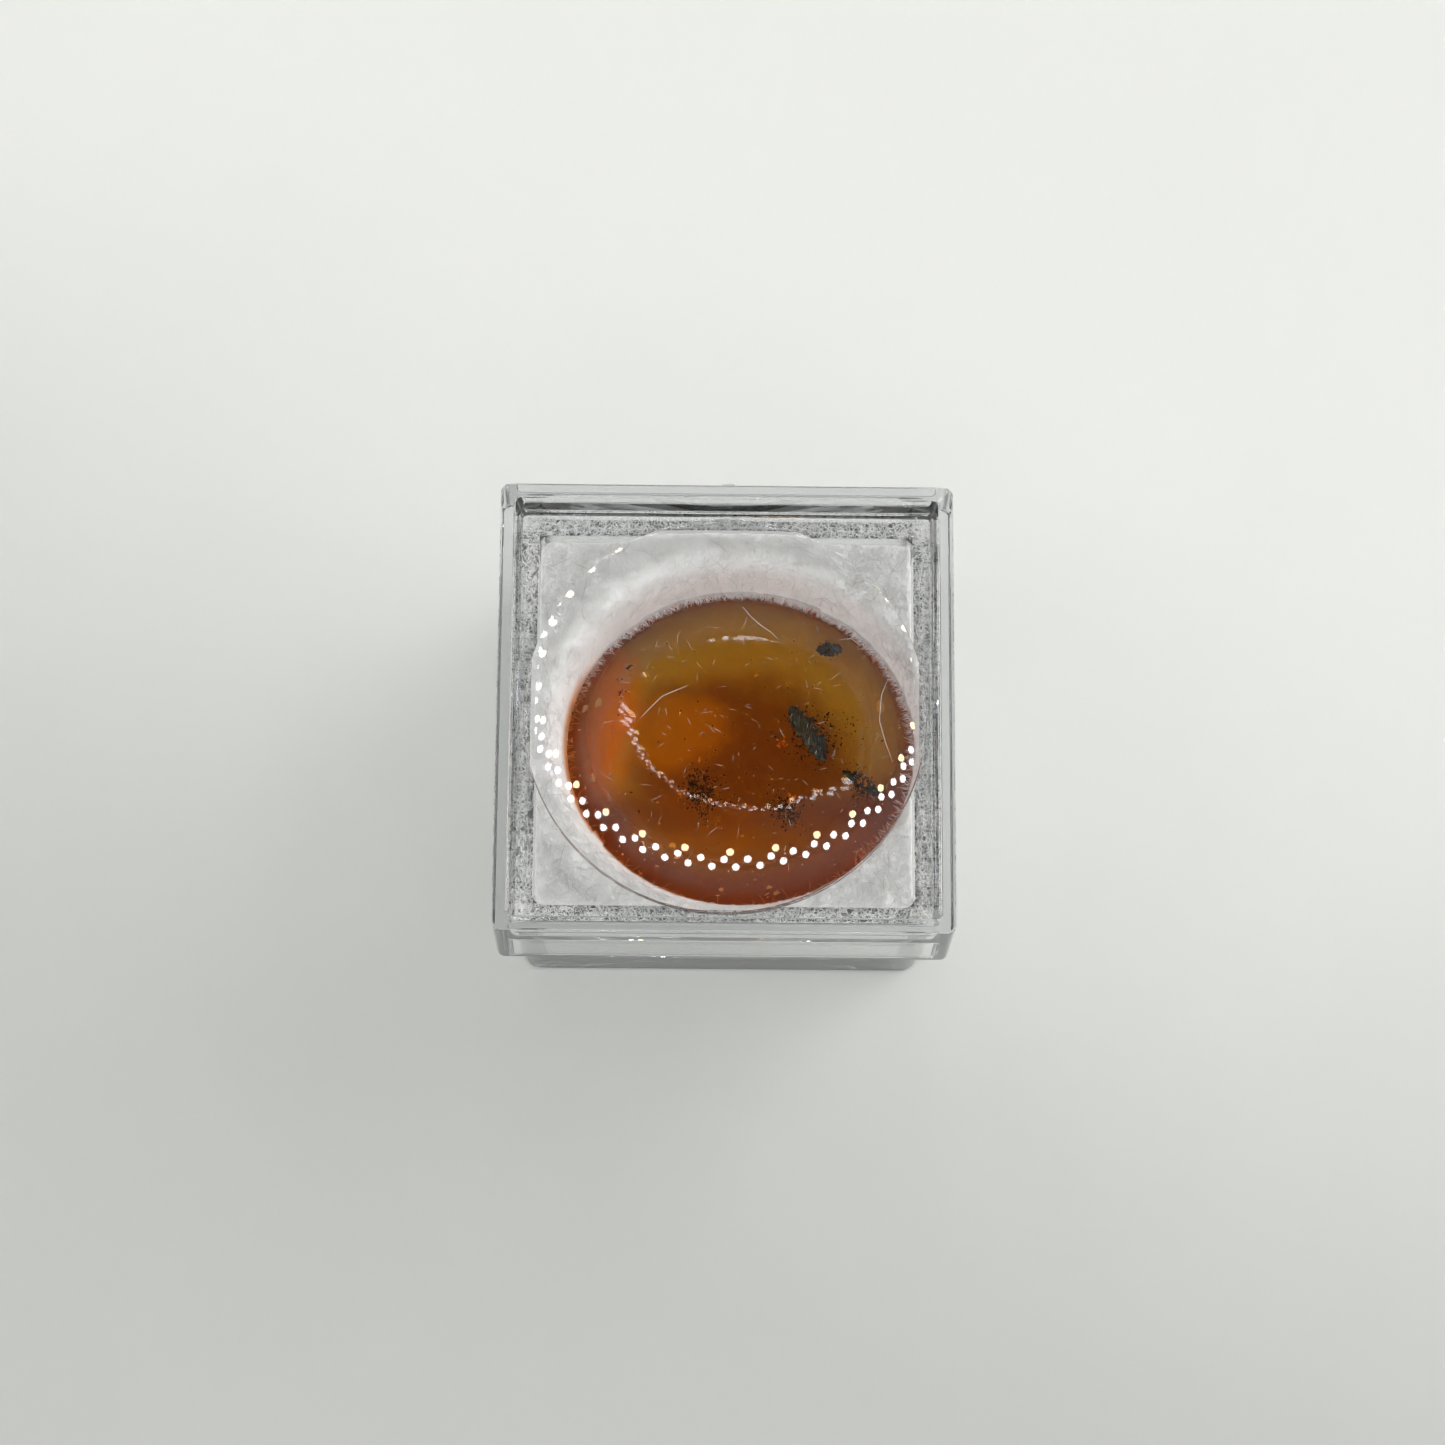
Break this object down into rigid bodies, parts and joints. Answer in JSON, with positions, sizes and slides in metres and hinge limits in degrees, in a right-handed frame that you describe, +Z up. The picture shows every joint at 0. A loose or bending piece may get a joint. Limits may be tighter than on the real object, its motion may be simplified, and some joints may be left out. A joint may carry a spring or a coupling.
{
  "type": "boxed amber specimen",
  "caption": "Polished oval of amber with dark plant flakes inside, pressed into a soft white pad in a clear square box whose lift-off lid is a round magnifying lens.",
  "frame": {"origin": "centre of the box's foot, on the surface that it stands on", "axes": "+Z up through the lens, -Y the front, nearest the viewer in the picture, +X to the viewer's right"},
  "size_m": [0.0314, 0.0314, 0.024],
  "materials": {
    "clear_polystyrene": "clear, polished",
    "white_flock": "fuzzy, matt",
    "amber": "clear amber, polished",
    "dark_plant_matter": "matt"
  },
  "bodies": {
    "root": {"lid": "clear_polystyrene", "tray": "clear_polystyrene", "pad": "white_flock", "amber_upper": "amber", "amber_lower": "amber", "leaf_flake": "dark_plant_matter", "leaf_scrap": "dark_plant_matter"}
  },
  "joints": []
}
